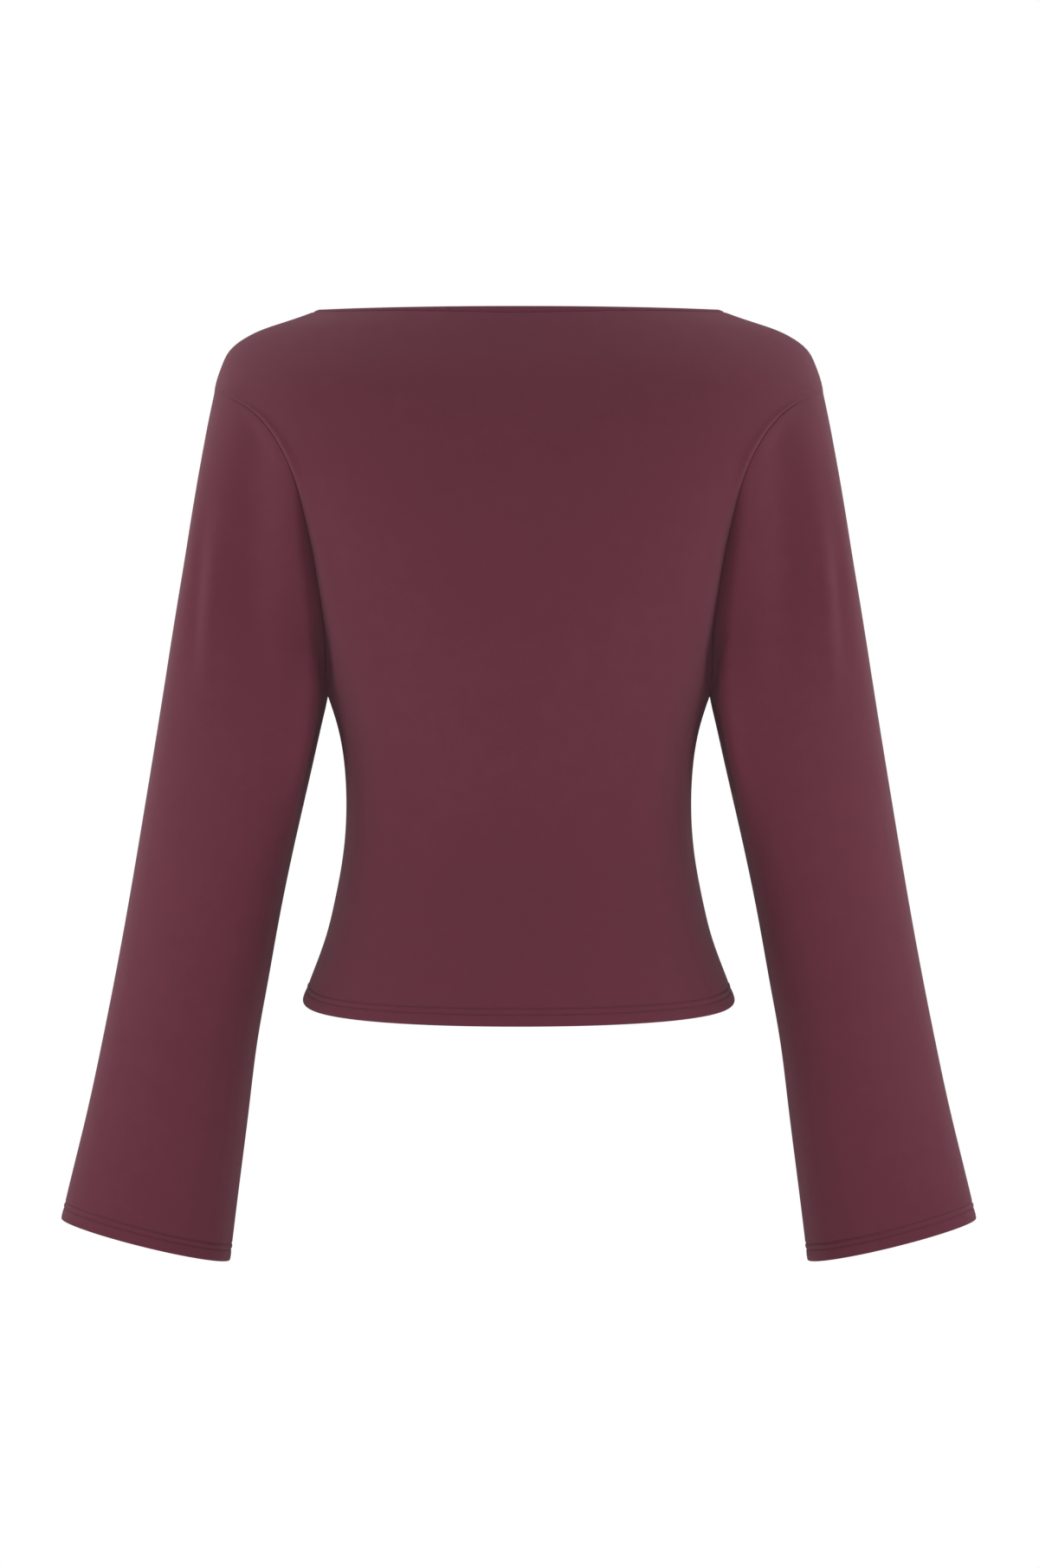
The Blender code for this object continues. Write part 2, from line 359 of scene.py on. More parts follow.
def both_ways(*folds: Fold) -> tuple[Fold, ...]:
    """Returns the folds and their mirror images about the middle."""
    return (*folds, *(fold.mirrored() for fold in folds))


@dataclass(frozen=True)
class Making:
    """How the top is sewn: sizes that all its pieces share."""

    cloth: float = 0.85  # the jersey's thickness
    turn_radius: float = 0.95  # of a folded edge
    seam_radius: float = 0.9  # of the roll where cloth dives into a seam
    seam_depth: float = 5.0  # how deep the allowances stand inside
    seam_rows: int = 3  # in an allowance
    seam_steps: tuple[float, ...] = (1.4, 2.0, 2.8, 3.8, 5.2, 7.2, 10.0)  # from a sewn edge, past its roll
    row_steps: tuple[float, ...] = (0.25, 0.5, 0.8, 1.2)  # to either side of a row of stitches
    plain_steps: tuple[float, float] = (2.0, 1.4)  # from a folded edge to its first plain row, then on
    row_margin: float = 1.5  # between a plain row and a row of stitches
    hem_lines: tuple[float, ...] = (8.0, 12.2)  # the twin needle's two rows above the folded edge
    neck_lines: tuple[float, ...] = (5.6,)
    hem_allowance: float = 16.0
    neck_allowance: float = 8.4
    groove: float = 0.5  # how deep a row of stitches pulls in
    groove_width: float = 0.55
    puff: float = 0.35  # how far the cloth between two rows stands up
    meet: float = 8.0  # over this distance the cloth's direction turns to its seam's
    stitch: float = 3.0  # from one stitch to the next
    thread: float = 0.36  # the thread's thickness as it shows

    def seam_places(self) -> Array:
        """Returns distances from a sewn edge at which a sheet has its columns or rows."""
        return np.concatenate([quarter(self.seam_radius), self.seam_steps])

    def edge_places(self, lines: tuple[float, ...], allowance: float) -> Array:
        """Sets the rows of a folded edge, fine at the fold and at each row of stitches.

        Args:
            lines: The rows of stitches, as distances from the edge.
            allowance: How far the cloth is turned in.

        Returns:
            Distances from the edge, rising.
        """
        first, step = self.plain_steps
        plain = np.arange(first, allowance, step)
        clear = [place for place in plain if min(abs(place - line) for line in lines) > self.row_margin]
        fine = np.outer((-1, 0, 1), self.row_steps).ravel()
        stitched = [fine + line for line in lines]
        places = np.concatenate([quarter(self.turn_radius), clear, [allowance], *stitched])
        return np.unique(places[places <= allowance])

    def pulled_in(self, distance: Array, lines: tuple[float, ...]) -> Array:
        """Works out a stitched edge's relief: a bell-shaped groove at each row and a puff between rows.

        Args:
            distance: Distances from the edge.
            lines: The rows of stitches, as distances from the edge.

        Returns:
            How far the cloth stands out at those distances.
        """
        relief = -self.groove * sum(bell(distance, line, self.groove_width) for line in lines)
        relief = relief + self.puff / 2 * bell(distance, lines[0] / 2, lines[0] / 4)
        if len(lines) > 1:
            relief = relief + self.puff * bell(distance, sum(lines) / 2, (lines[1] - lines[0]) / 4)
        return relief


FIGURE = Figure()
ARMHOLE = Armhole()
MAKING = Making()


@dataclass
class Sheet:
    """A piece's cloth before its edges are finished.

    Attributes:
        grid: Rows x columns x channels, of which the first three are a point.
        relief: How far the cloth stands out of its plain form; its stitched edges add to it.
        top: Distance of each row from the edge at the top.
        bottom: Distance of each row from the folded edge at the bottom.
        side: Distance of each column from the nearer sewn side.
        grain: The direction in which the knit's columns run down.
        sewn_top: Whether the top edge is sewn to other pieces; if not, it is folded.
        faces_back: Whether the columns run the other way as seen from outside.
        outward: The cloth's outward directions.
    """

    grid: Array
    relief: Array
    top: Array
    bottom: Array
    side: Array
    grain: Array
    sewn_top: bool = False
    faces_back: bool = False
    outward: Array = field(init=False)

    def __post_init__(self) -> None:
        """Works out the outward directions and adds the relief of the folded edges.

        Outward is down the rows crossed with right along the columns.
        """
        points = self.grid[..., :3]
        across = unit(np.cross(np.gradient(points, axis=0), np.gradient(points, axis=1)))
        self.outward = -across if self.faces_back else across
        for distance, lines in self.folded_edges():
            self.relief = self.relief + MAKING.pulled_in(distance, lines)[:, None]

    def folded_edges(self) -> list[tuple[Array, tuple[float, ...]]]:
        """Returns each row's distance from each folded edge, with the places of that edge's stitches."""
        hem = [(self.bottom, MAKING.hem_lines)]
        return hem if self.sewn_top else [(self.top, MAKING.neck_lines), *hem]

    def lean(self, edge: Array, distance: Array) -> None:
        """Turns the outward directions near an edge to the edge's own.

        Args:
            edge: The seam's directions, shaped to spread over the grid.
            distance: How far each point is from the seam, shaped the same way.
        """
        weight = 1 - smooth_step(distance, 0, MAKING.meet)
        self.outward = unit(self.outward * (1 - weight) + edge * weight)

    def finished(self) -> Array:
        """Turns in the folded edges and stands the seam allowances up inside.

        A turned row repeats the row that it lies behind, two radii further in. An allowance repeats the edge,
        ever further in.

        Returns:
            The points of the finished sheet, its columns running to the right as seen from outside.
        """
        rows, columns = self.grid.shape[:2]
        radius = MAKING.turn_radius
        depths = np.linspace(0, MAKING.seam_depth, MAKING.seam_rows + 1)[1:]
        down = rounding(self.bottom, radius)
        over = np.zeros(rows) if self.sewn_top else rounding(self.top, radius)
        behind = np.flatnonzero(self.bottom <= MAKING.hem_allowance)[-2::-1]
        before = np.flatnonzero(self.top <= MAKING.neck_allowance)[:0:-1]
        lift = -2 * radius - over[before]
        if self.sewn_top:
            before, lift = np.zeros(len(depths), int), -depths[::-1]
        row = np.concatenate([before, np.arange(rows), behind])
        push = np.concatenate([lift, over + down, -2 * radius - down[behind]])
        edge = np.zeros(len(depths), int)
        column = np.concatenate([edge, np.arange(columns), edge + columns - 1])
        sink = np.concatenate([-depths[::-1], np.zeros(columns), -depths])
        height = self.relief[row][:, column] + push[:, None] + sink
        points = self.grid[row][:, column][..., :3] + self.outward[row][:, column] * height[..., None]
        return points[:, ::-1] if self.faces_back else points

    def stitch_paths(self) -> list[Array]:
        """Traces the rows of stitches.

        Returns:
            Their lines, each samples x 6: points and outward directions.
        """
        clear = self.side >= MAKING.seam_radius
        points = self.grid[..., :3] + self.outward * self.relief[..., None]
        rows = [np.argmin(np.abs(near - line)) for near, lines in self.folded_edges() for line in lines]
        return [np.concatenate([points[row], self.outward[row]], axis=-1)[clear] for row in rows]

    def flat(self) -> Triple:
        """Measures the cut of what shows.

        Returns:
            Its width, length and area, in metres.
        """
        points = self.grid[..., :3]
        measures = cloth_measures(points, self.grain)
        width = np.ptp(measures[..., 0], axis=1).max()
        one_way, other_way = points[1:, 1:] - points[:-1, :-1], points[1:, :-1] - points[:-1, 1:]
        area = np.linalg.norm(np.cross(one_way, other_way), axis=-1).sum() / 2
        return width * MM, np.ptp(measures[..., 1]) * MM, area * MM**2


def cloth_measures(points: Array, grain: Array) -> Array:
    """Works out the cloth's own measures over a grid of points.

    The first is across from the middle column: the length along each row, less what runs along the grain. The
    second is down: each column's first place on the grain, then its length less its steps to the side.

    Args:
        points: Rows x columns x 3.
        grain: The direction in which the knit's columns run down.

    Returns:
        Rows x columns x 2.
    """
    right = np.diff(points, axis=1)
    steps = np.sqrt(np.maximum((right**2).sum(axis=-1) - (right @ grain) ** 2, 0))
    across = np.concatenate([np.zeros((len(points), 1)), np.cumsum(steps, axis=1)], axis=1)
    across -= across[:, [across.shape[1] // 2]]
    down = np.diff(points, axis=0)
    fall = np.hypot(down @ grain, down[..., 1])
    start = points[:1] @ grain
    return np.stack([across, np.concatenate([start, start + np.cumsum(fall, axis=0)])], axis=-1)


def relief_of(points: Array, grain: Array, folds: tuple[Fold, ...]) -> Array:
    """Adds up the folds' heights over a grid of points.

    Args:
        points: Rows x columns x 3.
        grain: The direction in which the knit's columns run down.
        folds: The folds.

    Returns:
        Rows x columns.
    """
    measures = cloth_measures(points, grain)
    relief = np.zeros(points.shape[:2])
    for fold in folds:
        relief += fold(measures[..., 0], measures[..., 1])
    return relief


@dataclass
class Panel:
    """The back or the front of the body."""

    side: Side
    neck_dip: float
    hem_dip: float
    folds: tuple[Fold, ...]
    neck_fade: float = 66.0
    waist: float = 338.0
    hem: float = 477.0
    hem_curve: float = 0.75
    samples: int = 1201
    drawn_rows: tuple[int, int] = (500, 900)  # how finely the shoulder and the waist are drawn at first
    shoulder_rows: int = 22
    armhole_rows: int = 96
    waist_rows: int = 78
    middle_columns: int = 92
    lip_middle: float = 3.5  # where beside the armhole seam the cloth stands up most
    lip_width: float = 2.8
    sunk_reach: float = 5.0  # how far the seam's own hollow reaches into the panel
    folds_clear: float = 7.0  # over this distance from a sewn edge the folds die out
    sheet: Sheet = field(init=False)
    armhole: slice = field(init=False)
    turns: Array = field(init=False)

    def __post_init__(self) -> None:
        """Lays the cloth: rows by their distance from the neck and the hem, and level at the armhole."""
        neck_places = MAKING.edge_places(MAKING.neck_lines, MAKING.neck_allowance)
        hem_places = MAKING.edge_places(MAKING.hem_lines, MAKING.hem_allowance)
        high = np.linspace(0, ARMHOLE.top, self.drawn_rows[0])
        low = np.linspace(ARMHOLE.bottom, self.hem, self.drawn_rows[1])
        self.turns = np.linspace(0, 180, self.armhole_rows + 1)
        shoulder = self.laid(high, neck_places, self.shoulder_rows, np.zeros(1))
        waist = self.laid(low, np.zeros(1), self.waist_rows, hem_places)
        inner = self.turns[1:-1]
        arm = self.surface(ARMHOLE.drop(inner), ARMHOLE.half_width(inner, self.side))
        self.armhole = slice(len(shoulder) - 1, len(shoulder) + len(inner) + 1)
        sides = MAKING.seam_places()
        grid = spread(np.concatenate([shoulder, arm, waist]), sides, self.middle_columns, sides)
        side = np.minimum(*from_ends(grid.shape[1], sides, sides))
        top, bottom = from_ends(len(grid), neck_places, hem_places)
        down = np.array([0.0, 0.0, -1.0])
        relief = relief_of(grid, down, self.folds) * smooth_step(side, 0, self.folds_clear)
        turn = np.full((len(grid), 1), 180.0)  # a side seam lies as the armhole's does under the arm
        turn[self.armhole, 0] = self.turns
        relief += ARMHOLE.seen(turn) * rounding(side, MAKING.seam_radius)
        across = cloth_measures(grid, down)[..., 0]
        inwards = np.minimum(across - across[:, :1], across[:, -1:] - across)
        relief += ARMHOLE.lip(turn) * bell(inwards, self.lip_middle, self.lip_width)
        relief -= ARMHOLE.sunk(turn) * np.exp(-inwards / self.sunk_reach)
        self.sheet = Sheet(grid, relief, top, bottom, side, down, faces_back=self.side is Side.FRONT)

    def laid(self, drops: Array, first: Array, count: int, last: Array) -> Array:
        """Returns rows of full width at set distances from both ends of a stretch, as spread places them."""
        lines = self.surface(drops, FIGURE.half_width(drops)).swapaxes(0, 1)
        return spread(lines, first, count, last).swapaxes(0, 1)

    def surface(self, drops: Array, reach: Array) -> Array:
        """Returns the panel's points, a row for each drop.

        x = full * sin(most * across), where across runs from -1 to 1 and most makes the row end at its reach.
        The rows sag to the neckline and to the hem by the two dips, which fade towards the sides.

        Args:
            drops: The height of each row at the sides.
            reach: How far each row reaches from the middle.

        Returns:
            Rows x samples x (x, y, z).
        """
        full = FIGURE.half_width(drops)
        most = np.arcsin(np.clip(reach / full, -1, 1))
        across = np.linspace(-1, 1, self.samples)
        x = full[:, None] * np.sin(most[:, None] * across)
        neck = self.neck_dip * np.clip(1 - drops / self.neck_fade, 0, 1) ** 2
        hem = self.hem_dip * np.clip((drops - self.waist) / (self.hem - self.waist), 0, 1) ** 2
        low = 1 - across**2
        drop = drops[:, None] + neck[:, None] * low + hem[:, None] * low**self.hem_curve
        y = FIGURE.y(x, drop, self.side)
        return np.stack([x, y, -drop], axis=-1)


@dataclass
class Sleeve:
    """The left sleeve, long and flared. The right one is its mirror image.

    The outer and the inner outline go by the drop. The half depth and the two edges go by the share of the
    sleeve. The share over which the armhole's own ring fades out, armhole_reach, goes by the turn.
    """

    folds: tuple[Fold, ...]
    outer: Curve = Curve(
        (59, 74, 98, 122, 170, 206, 266, 326, 386, 446, 506, 554, 602, 631),
        (211, 214, 218.2, 222.1, 229.7, 235.9, 245.9, 256, 266.2, 276.9, 288.7, 299, 310.7, 317.7),
    )
    inner: Curve = Curve(
        (267, 290, 326, 374, 422, 470, 506, 554, 602, 660),
        (132.7, 138.2, 146, 156.4, 166.1, 174.7, 181.1, 187.2, 193.3, 200.5),
    )
    half_depth: Curve = Curve((0, 0.15, 0.4, 0.7, 1), (54, 54, 48, 45, 46))
    outer_edge: Curve = Curve((0, 0.1, 0.25, 0.4, 0.6, 0.8, 1), (0.40, 0.40, 0.47, 0.68, 0.97, 1.00, 1.00))
    inner_edge: Curve = Curve((0, 0.1, 0.25, 0.4, 0.6, 0.8, 1), (0.28, 0.28, 0.62, 0.85, 1.00, 1.05, 1.05))
    cuff_outer: float = 630.6
    cuff_inner: float = 660.0
    cuff_forward: float = 6.0
    armhole_reach: Curve = Curve((0, 60, 105, 130, 180), (0.18, 0.16, 0.06, 0.03, 0.03))
    sunk_reach: float = 1.9  # how far the seam's own hollow reaches into the sleeve
    folds_clear: float = 12.0  # over this distance from a sewn edge the folds die out
    axis: Triple = (-0.178, 0.0, -0.984)
    samples: int = 900
    bunching: float = 2.2  # the power that bunches the drawn rows at the armhole
    close_rows: tuple[float, float, int] = (11.5, 46, 24)  # from and to these distances, and how many
    middle_rows: int = 74
    middle_columns: int = 150
    seam_samples: int = 481
    sheet: Sheet = field(init=False)

    def __post_init__(self) -> None:
        """Lays the cloth, open along its underarm seam."""
        fine = np.linspace(0, 1, self.samples) ** self.bunching
        turn, along = np.meshgrid(np.linspace(-180, 180, self.samples), fine, indexing="ij")
        close = np.concatenate([MAKING.seam_places(), np.linspace(*self.close_rows)])
        cuff = MAKING.edge_places(MAKING.hem_lines, MAKING.hem_allowance)
        rows = spread(self.surface(along, turn), close, self.middle_rows, cuff).swapaxes(0, 1)
        sides = MAKING.seam_places()
        grid = spread(rows, sides, self.middle_columns, sides)
        side = np.minimum(*from_ends(grid.shape[1], sides, sides))
        top, bottom = from_ends(len(grid), close, cuff)
        clear = smooth_step(top, 0, self.folds_clear)[:, None] * smooth_step(side, 0, self.folds_clear)
        grain = unit(np.array(self.axis))
        relief = relief_of(grid[..., :3], grain, self.folds) * clear
        relief += rounding(side, MAKING.seam_radius)
        down = np.abs(grid[..., 3])
        relief += ARMHOLE.seen(down) * rounding(top, MAKING.seam_radius)[:, None]
        relief -= self.seam_hollow(grid, top)
        self.sheet = Sheet(grid, relief, top, bottom, side, grain, sewn_top=True)

    def tube(self, along: Array, turn: Array) -> Array:
        """Works out the plain flared tube: at each share of the sleeve, an oval between its two outlines.

        Its depth is half_depth * |sin(turn)| ** edge, where edge goes from outer_edge to inner_edge.

        Args:
            along: Shares of the sleeve, from 0 at the armhole to 1 at the cuff.
            turn: Turns round it.

        Returns:
            The tube's points.
        """
        inward = (1 - np.cos(np.radians(turn))) / 2
        outer_drop = ARMHOLE.top + (self.cuff_outer - ARMHOLE.top) * along
        inner_drop = ARMHOLE.bottom + (self.cuff_inner - ARMHOLE.bottom) * along
        outer, inner = self.outer(outer_drop), self.inner(inner_drop)
        around = np.sin(np.radians(turn))
        edge = self.outer_edge(along) * (1 - inward) + self.inner_edge(along) * inward
        depth = self.half_depth(along) * np.sign(around) * np.abs(around) ** edge
        x = -(outer + (inner - outer) * inward)
        z = -(outer_drop + (inner_drop - outer_drop) * inward)
        return np.stack([x, self.cuff_forward * along - depth, z], axis=-1)

    def surface(self, along: Array, turn: Array) -> Array:
        """Returns the sleeve's points.

        The tube starts as the armhole's own ring, which fades out.

        Args:
            along: Shares of the sleeve, from 0 at the armhole to 1 at the cuff.
            turn: Turns round it, from -180 through the front and 0 on top to 180 through the back.

        Returns:
            The points, then the turn.
        """
        points = self.tube(along, turn)
        fade = np.clip(1 - along / self.armhole_reach(np.abs(turn)), 0, 1) ** 2
        points += fade[..., None] * (ARMHOLE.ring(turn, FIGURE) - self.tube(0 * along, turn))
        return np.concatenate([points, turn[..., None]], axis=-1)

    def seam_hollow(self, grid: Array, top: Array) -> Array:
        """Works out how deep the cloth dips: the armhole seam's own depth, times exp(-distance / reach).

        Args:
            grid: Rows x columns x (x, y, z, turn), the first row on the seam.
            top: Distance of each row from the seam, down the columns.

        Returns:
            Rows x columns.
        """
        turns = np.linspace(-180, 180, self.seam_samples)
        seam = ARMHOLE.ring(turns, FIGURE)
        points = grid[..., :3]
        square = (points**2).sum(axis=-1)[..., None] + (seam**2).sum(axis=-1) - 2 * points @ seam.T
        nearest = np.abs(turns[square.argmin(axis=-1)])
        nearest[0] = np.abs(grid[0, :, 3])
        distance = np.minimum(np.sqrt(np.maximum(square.min(axis=-1), 0)), top[:, None])
        return ARMHOLE.sunk(nearest) * np.exp(-distance / self.sunk_reach)


def edge_pull(edge: Array, inner: Array, outward: Array) -> Array:
    """Returns a sewn edge's share in its seam's direction: its outward one, and half of the way inwards."""
    return outward + unit(inner - edge) / 2


def at_turns(wanted: Array, turns: Array, directions: Array) -> Array:
    """Returns directions given at some turns, in rising order, read at other turns."""
    return np.stack([np.interp(wanted, turns, directions[:, k]) for k in range(3)], axis=-1)


def join_seams(back: Panel, front: Panel, sleeve: Sleeve) -> None:
    """Gives the sheets that meet at a seam one direction there, midway between their own.

    Args:
        back: The back panel.
        front: The front panel.
        sleeve: The left sleeve.
    """
    reach = 6  # columns or rows in from an edge, where the way inwards is taken
    ring, cloth = sleeve.sheet.grid[..., :3], sleeve.sheet
    ring_pull = edge_pull(ring[0], ring[reach], cloth.outward[0])
    own = {}
    for panel in (back, front):
        grid = panel.sheet.grid[..., :3]
        own[panel.side] = edge_pull(grid[:, 0], grid[:, reach], panel.sheet.outward[:, 0])
    plain = own[Side.BACK] + own[Side.FRONT]
    edges = {}
    for panel, way in ((back, 1), (front, -1)):
        edge = plain.copy()
        sleeve_pull = at_turns(way * panel.turns, sleeve.sheet.grid[0, :, 3], ring_pull)
        edge[panel.armhole] = own[panel.side][panel.armhole] + sleeve_pull
        edges[panel.side] = edge
    first, last = back.armhole.start, back.armhole.stop - 1
    for row in (first, last):
        edges[Side.BACK][row] += edges[Side.FRONT][row]
        edges[Side.FRONT][row] = edges[Side.BACK][row]
    fall = lengths(back.sheet.grid[None, :, 0])[0]
    for panel in (back, front):
        edge = unit(edges[panel.side])
        weight = (1 - smooth_step(fall - fall[last], 0, 2 * MAKING.meet))[last:, None]
        edge[last:] = unit(edge[last:] * (1 - weight) + edge[last] * weight)
        edges[panel.side] = edge
        left, right = from_ends(len(panel.sheet.side), MAKING.seam_places(), MAKING.seam_places())
        panel.sheet.lean(edge[:, None], left[None, :, None])
        panel.sheet.lean(edge[:, None] * MIRROR, right[None, :, None])
    turns = np.concatenate([-front.turns[::-1], back.turns[1:]])
    around = np.concatenate([edges[Side.FRONT][front.armhole][::-1], edges[Side.BACK][back.armhole][1:]])
    one_side = edge_pull(ring[:, 0], ring[:, reach], cloth.outward[:, 0])
    other_side = edge_pull(ring[:, -1], ring[:, -1 - reach], cloth.outward[:, -1])
    cloth.lean(unit(one_side + other_side)[:, None], cloth.side[None, :, None])
    cloth.lean(at_turns(cloth.grid[0, :, 3], turns, around)[None], cloth.top[:, None, None])


# ---- the meshes


def new_object(name: str, data: bpy.types.ID) -> bpy.types.Object:
    """Returns a new object that holds a mesh, a light or a camera, linked to the scene."""
    made = bpy.data.objects.new(name, data)
    bpy.context.scene.collection.objects.link(made)
    return made


def quads(number: Array) -> Array:
    """Returns the four corners of each face on a grid of vertex numbers, rows x columns."""
    corners = [number[:-1, :-1], number[1:, :-1], number[1:, 1:], number[:-1, 1:]]
    return np.stack(corners, axis=-1).reshape(-1, 4)


def new_piece(name: str, points: Array, faces: list, material: Material) -> bpy.types.Object:
    """Makes a smooth-shaded mesh object at the origin.

    Args:
        name: The piece's name.
        points: Its points, in millimetres.
        faces: The vertex numbers of each face.
        material: Its finish.

    Returns:
        The new object, linked to the scene.
    """
    mesh = bpy.data.meshes.new(name)
    mesh.from_pydata((points.reshape(-1, 3) * MM).tolist(), [], faces)
    mesh.shade_smooth()
    mesh.materials.append(material)
    return new_object(name, mesh)


@dataclass(frozen=True)
class Stitching:
    """Rows of single stitches, each a short tapered thread whose ends dive into the cloth."""

    sides: int = 6
    rings: int = 5
    hidden: float = 0.16  # the share of each stitch that lies under the cloth
    dive: float = 0.30  # how far its ends sink
    taper: float = 0.8  # how much thinner they are, as a share of the thread's section

    def build(self, name: str, paths: list[Array], material: Material) -> bpy.types.Object:
        """Makes one joined mesh of stitches along the paths.

        A stitch is a tube whose radius follows half an ellipse and whose height follows a squared half sine.

        Args:
            name: The piece's name.
            paths: Lines of points and outward directions, each samples x 6.
            material: The thread's finish.

        Returns:
            The new object.
        """
        share = np.linspace(0, 1, self.rings)
        centres = np.concatenate([self.centres(path, share) for path in paths])
        middle, outward = centres[..., :3], unit(centres[..., 3:])
        forward = unit(np.gradient(middle, axis=1))
        aside = unit(np.cross(outward, forward))
        radius = MAKING.thread / 2 * np.sqrt(1 - self.taper * (2 * share - 1) ** 2)
        lift = self.dive * (hill(share, 0, 1) - 1) + MAKING.thread / 3
        angle = np.radians(np.linspace(0, 360, self.sides, endpoint=False))[:, None]
        middle = middle + outward * lift[:, None]
        rim = outward[:, :, None] * np.sin(angle) + aside[:, :, None] * np.cos(angle)
        ring = middle[:, :, None] + radius[:, None, None] * rim
        number = np.arange(ring[..., 0].size).reshape(ring.shape[:3])
        beside = np.roll(number, -1, axis=2)
        walls = np.stack([number[:, :-1], beside[:, :-1], beside[:, 1:], number[:, 1:]], axis=-1)
        caps = np.concatenate([number[:, 0, ::-1], number[:, -1]])
        return new_piece(name, ring, walls.reshape(-1, 4).tolist() + caps.tolist(), material)

    def centres(self, path: Array, share: Array) -> Array:
        """Sets the rings of every stitch along a path.

        Args:
            path: Samples x 6: points and outward directions.
            share: Where the rings lie along a stitch, from 0 to 1.

        Returns:
            Stitches x rings x 6: the rings' middles and the outward directions there.
        """
        length = lengths(path[None])[0, -1]
        count = int(length // MAKING.stitch)
        start = np.arange(count)[:, None] * (length / count) + self.hidden / 2 * MAKING.stitch
        places = start + (1 - self.hidden) * MAKING.stitch * share
        return by_length(path[None], places.reshape(1, -1)).reshape(count, self.rings, 6)


# ---- finishes


@dataclass
class Graph:
    """A shader node tree that is being filled."""

    tree: Tree

    def add(self, kind: str, inputs: dict, **settings: object) -> bpy.types.Node:
        """Adds a node.

        Args:
            kind: The node's type without its prefix, ShaderNode.
            inputs: Its inputs by name or number, each a value or an output socket to link.
            settings: The node's own properties.

        Returns:
            The node.
        """
        node = self.tree.nodes.new(f"ShaderNode{kind}")
        for name, value in settings.items():
            setattr(node, name, value)
        for key, value in inputs.items():
            if isinstance(value, Socket):
                self.tree.links.new(value, node.inputs[key])
            else:
                node.inputs[key].default_value = value
        return node

    def math(self, operation: str, *values: object) -> Socket:
        """Returns the result of a Math node on up to three values or sockets."""
        return self.add("Math", dict(enumerate(values)), operation=operation).outputs[0]


@dataclass
class Group(Graph):
    """A shader node group that is being filled, with its named inputs and its one output."""

    given: dict[str, Socket]
    result: Socket

    @classmethod
    def new(cls, name: str, inputs: dict[str, str], output: str) -> "Group":
        """Makes an empty group.

        Args:
            name: The group's name.
            inputs: Its inputs' names and socket types.
            output: The name of its output, a value.

        Returns:
            The group.
        """
        tree = bpy.data.node_groups.new(name, "ShaderNodeTree")
        for label, kind in inputs.items():
            tree.interface.new_socket(name=label, in_out="INPUT", socket_type=kind)
        tree.interface.new_socket(name=output, in_out="OUTPUT", socket_type="NodeSocketFloat")
        source, sink = tree.nodes.new("NodeGroupInput"), tree.nodes.new("NodeGroupOutput")
        return cls(tree, {label: source.outputs[label] for label in inputs}, sink.inputs[output])


def knit_loops() -> Tree:
    """Makes the group for a jersey's face: columns of V-shaped loops.

    With a the place across in columns and b the place down in rows, a column has two legs, |sin(2 pi a)|, and
    each leg is a row of slanting bulges, |sin(pi (b + slant))|.

    Returns:
        The group, which turns Place, Column and Row, in metres on the cloth, into Height, from 0 to 1.
    """
    value = "NodeSocketFloat"
    group = Group.new("knit_loops", {"Place": "NodeSocketVector", "Column": value, "Row": value}, "Height")
    place = group.add("SeparateXYZ", {0: group.given["Place"]})
    across = group.math("DIVIDE", place.outputs["X"], group.given["Column"])
    down = group.math("DIVIDE", place.outputs["Y"], group.given["Row"])
    slant = group.math("MULTIPLY", group.math("PINGPONG", across, 0.5), 1.7)
    leg = group.math("ABSOLUTE", group.math("SINE", group.math("MULTIPLY", across, math.tau)))
    along = group.math("MULTIPLY", group.math("ADD", down, slant), math.pi)
    bulge = group.math("ABSOLUTE", group.math("SINE", along))
    loop = group.math("MULTIPLY_ADD", bulge, 0.5, 0.5)
    height = group.math("MULTIPLY", group.math("POWER", leg, 0.6), loop)
    group.tree.links.new(height, group.result)
    return group.tree


def uneven_tone() -> Tree:
    """Makes the group for a cloth's uneven tone: broad clouds, small patches and single fibres.

    Returns:
        The group, which turns Place, in metres, and the three shares into Tone, around 0.5.
    """
    shares = dict.fromkeys(("Clouds", "Patches", "Fibres"), "NodeSocketFloat")
    group = Group.new("uneven_tone", {"Place": "NodeSocketVector", **shares}, "Tone")
    tone: object = 0.5
    for label, scale, detail in (("Clouds", 9.0, 2.0), ("Patches", 90.0, 3.0), ("Fibres", 1500.0, 2.0)):
        inputs = {"Vector": group.given["Place"], "Scale": scale, "Detail": detail}
        noise = group.add("TexNoise", inputs).outputs["Fac"]
        tone = group.math("MULTIPLY_ADD", group.math("SUBTRACT", noise, 0.5), group.given[label], tone)
    group.tree.links.new(tone, group.result)
    return group.tree


def new_material(name: str) -> tuple[Material, Graph, bpy.types.Node]:
    """Returns a new material with its graph and its shader."""
    made = bpy.data.materials.new(name)
    made.use_nodes = True
    return made, Graph(made.node_tree), made.node_tree.nodes["Principled BSDF"]


def mixed(graph: Graph, factor: Socket, low: Triple, high: Triple) -> Socket:
    """Mixes two colours.

    Args:
        graph: Where the node is added.
        factor: The share of the high colour.
        low: The colour at 0.
        high: The colour at 1.

    Returns:
        The mixed colour.
    """
    node = graph.add("Mix", {0: factor, 6: (*low, 1.0), 7: (*high, 1.0)}, data_type="RGBA")
    return node.outputs[2]


